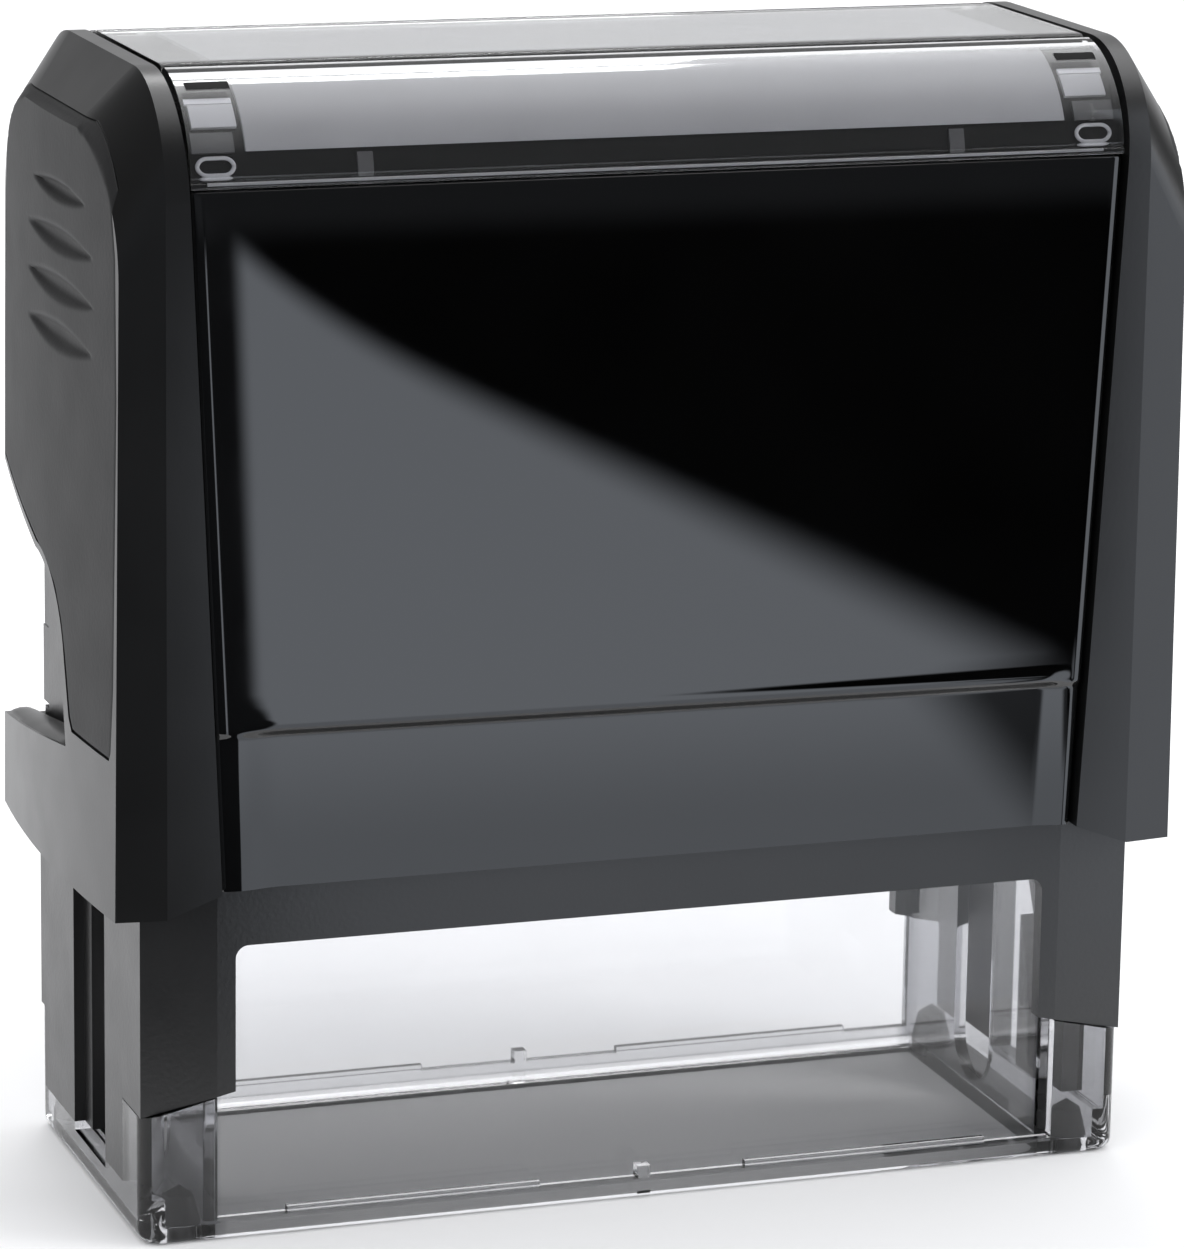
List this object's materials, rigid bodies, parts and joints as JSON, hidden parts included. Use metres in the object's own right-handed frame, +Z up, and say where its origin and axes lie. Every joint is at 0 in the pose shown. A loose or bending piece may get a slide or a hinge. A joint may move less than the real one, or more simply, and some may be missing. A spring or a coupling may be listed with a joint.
{
  "type": "self inking stamp",
  "caption": "Self inking stamp with a clear base, a press-down housing, a flip-over text plate and a pull-out ink cartridge",
  "frame": {"origin": "middle of the underside of the clear base, on the desk", "axes": "+Z up, +X along the length of the stamp, +Y towards the back, so the front panel faces -Y"},
  "size_m": [0.1028, 0.0436, 0.1052],
  "materials": {
    "clear_smoke": "clear smoky moulded plastic",
    "clear_cover": "clear moulded plastic",
    "foot_rubber": "soft black rubber",
    "frame_black": "fine-grained black plastic",
    "housing_black": "satin black plastic",
    "grip_grey": "grained dark grey plastic",
    "panel_gloss": "polished black plastic",
    "crank_grey": "natural grey plastic",
    "axle_steel": "bright steel",
    "pad_felt": "ink-soaked felt",
    "cushion_foam": "thin foam",
    "plate_rubber": "engraved rubber",
    "card_paper": "plain card"
  },
  "bodies": {
    "frame": {"inner_frame": "frame_black", "clear_base": "clear_smoke", "rubber_feet": "foot_rubber", "return_spring_left": "axle_steel", "return_spring_right": "axle_steel"},
    "housing": {"housing_shell": "housing_black", "rear_bar": "housing_black", "front_panel": "panel_gloss", "end_cap_left": "housing_black", "end_cap_right": "housing_black", "grip_insert_left": "grip_grey", "grip_insert_right": "grip_grey", "label_card": "card_paper", "axle_pin_left": "axle_steel", "axle_pin_right": "axle_steel"},
    "die": {"die_carrier": "frame_black", "die_cushion": "cushion_foam", "text_plate": "plate_rubber", "flip_crank_left": "crank_grey", "flip_crank_right": "crank_grey"},
    "cartridge": {"cartridge_tray": "frame_black", "ink_pad": "pad_felt"},
    "cover": {"index_cover": "clear_cover"}
  },
  "joints": [
    {"name": "press", "type": "slide", "parent": "frame", "child": "housing", "axis": [0, 0, -1], "range_m": [0, 0.028], "stiffness_N_per_m": 500, "springref_m": -0.02, "deforming": ["return_spring_left", "return_spring_right"]},
    {"name": "flip", "type": "hinge", "parent": "housing", "child": "die", "pos_m": [0, 0, 0.03425], "axis": [1, 0, 0], "range_deg": [0, 180.5]},
    {"name": "cartridge_out", "type": "slide", "parent": "frame", "child": "cartridge", "axis": [0, 1, 0], "range_m": [0, 0.05]},
    {"name": "cover_off", "type": "slide", "parent": "housing", "child": "cover", "axis": [0, 0, 1], "range_m": [0, 0.025]}
  ],
  "couplings": [
    {"joint": "flip", "follows": "press", "rad_per_m": 112.2}
  ]
}
